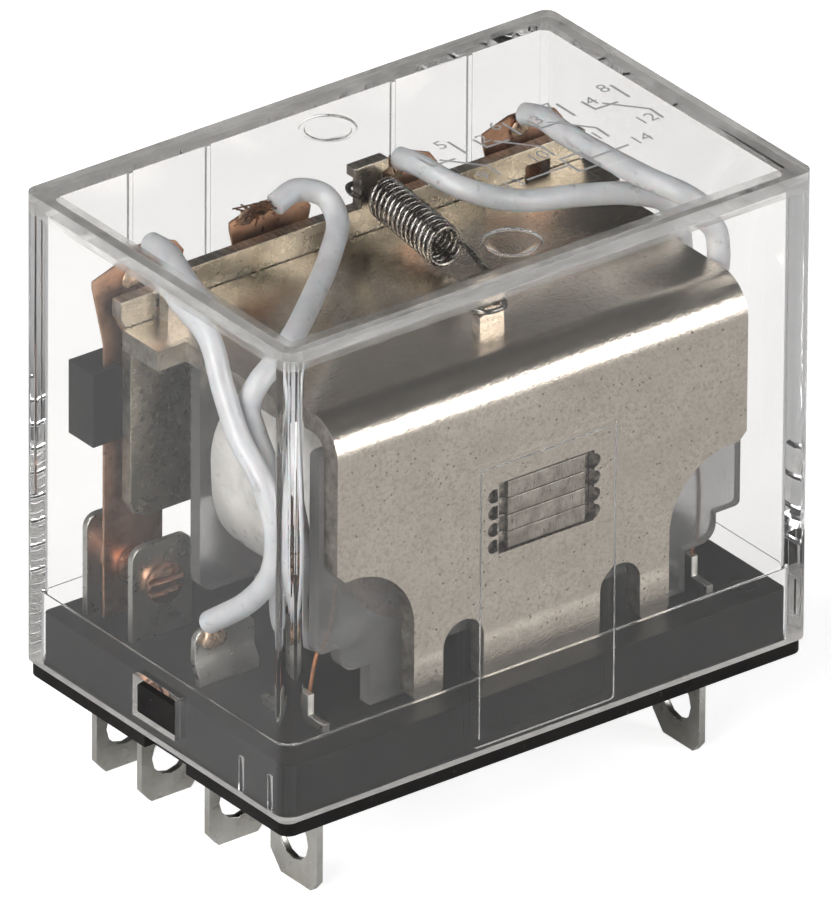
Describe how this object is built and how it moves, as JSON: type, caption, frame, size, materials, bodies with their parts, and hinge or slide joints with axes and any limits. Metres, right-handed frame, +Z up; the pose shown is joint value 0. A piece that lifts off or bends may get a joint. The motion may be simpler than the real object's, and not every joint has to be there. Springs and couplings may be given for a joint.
{
  "type": "plug-in control relay",
  "caption": "Box-shaped plug-in industrial relay: clear push-on cover, base with blade terminals, coil and yoke, and an armature that swings spring contact strips between fixed contacts.",
  "frame": {"origin": "centre of the base's flat underside, which sits on the socket; the blades reach below it", "axes": "+Z up through the cover's top, X along the long side, coil terminals towards -Y, contacts towards +Y"},
  "size_m": [0.0414, 0.0274, 0.0417],
  "materials": {
    "black_moulding": "moulded, satin",
    "clear_cover": "clear polished plastic",
    "nickel_plate": "nickel plated, satin",
    "core_steel": "stamped, bare",
    "rivet_steel": "stamped, plated",
    "spring_steel": "dark drawn wire",
    "tinned_brass": "tin plated, satin",
    "bronze_strip": "rolled bronze, satin",
    "silver_contact": "copper rivet with a silvered face",
    "copper": "bare copper",
    "copper_wire": "enamelled copper wire",
    "natural_plastic": "translucent natural plastic",
    "white_tape": "glossy polyester tape",
    "lead_sleeve": "grey silicone sleeve"
  },
  "bodies": {
    "relay_frame": {"base": "black_moulding", "cover": "clear_cover", "nc_terminal_1": "tinned_brass", "nc_terminal_2": "tinned_brass", "nc_terminal_3": "tinned_brass", "nc_terminal_4": "tinned_brass", "no_terminal_5": "tinned_brass", "no_terminal_6": "tinned_brass", "no_terminal_7": "tinned_brass", "no_terminal_8": "tinned_brass", "com_terminal_9": "tinned_brass", "com_terminal_10": "tinned_brass", "com_terminal_11": "tinned_brass", "com_terminal_12": "tinned_brass", "coil_terminal_13": "tinned_brass", "coil_terminal_14": "tinned_brass", "nc_contact_1": "silver_contact", "nc_contact_2": "silver_contact", "nc_contact_3": "silver_contact", "nc_contact_4": "silver_contact", "no_contact_5": "silver_contact", "no_contact_6": "silver_contact", "no_contact_7": "silver_contact", "no_contact_8": "silver_contact", "yoke": "nickel_plate", "core_lamination_1": "core_steel", "core_lamination_2": "core_steel", "core_lamination_3": "core_steel", "core_lamination_4": "core_steel", "shading_ring": "copper", "bobbin": "natural_plastic", "coil_winding": "copper_wire", "coil_tape": "white_tape", "lead_wire_1": "lead_sleeve", "lead_wire_2": "lead_sleeve", "lead_wire_3": "lead_sleeve", "lead_wire_4": "lead_sleeve", "coil_lead_a": "copper_wire", "coil_lead_b": "copper_wire", "return_spring": "spring_steel"},
    "armature_group": {"armature": "nickel_plate", "contact_carrier": "black_moulding", "carrier_rivet_1": "rivet_steel", "carrier_rivet_2": "rivet_steel", "moving_strip_1": "bronze_strip", "moving_strip_2": "bronze_strip", "moving_strip_3": "bronze_strip", "moving_strip_4": "bronze_strip", "moving_contact_1": "silver_contact", "moving_contact_2": "silver_contact", "moving_contact_3": "silver_contact", "moving_contact_4": "silver_contact"}
  },
  "joints": [
    {"name": "armature_swing", "type": "hinge", "parent": "relay_frame", "child": "armature_group", "pos_m": [0, 0.00735, 0.0249], "axis": [-1, 0, 0], "range_deg": [0, 3.9], "stiffness_Nm_per_rad": 0.01, "springref_deg": -17.19, "deforming": ["return_spring", "lead_wire_1", "lead_wire_2", "lead_wire_3", "lead_wire_4"]}
  ]
}
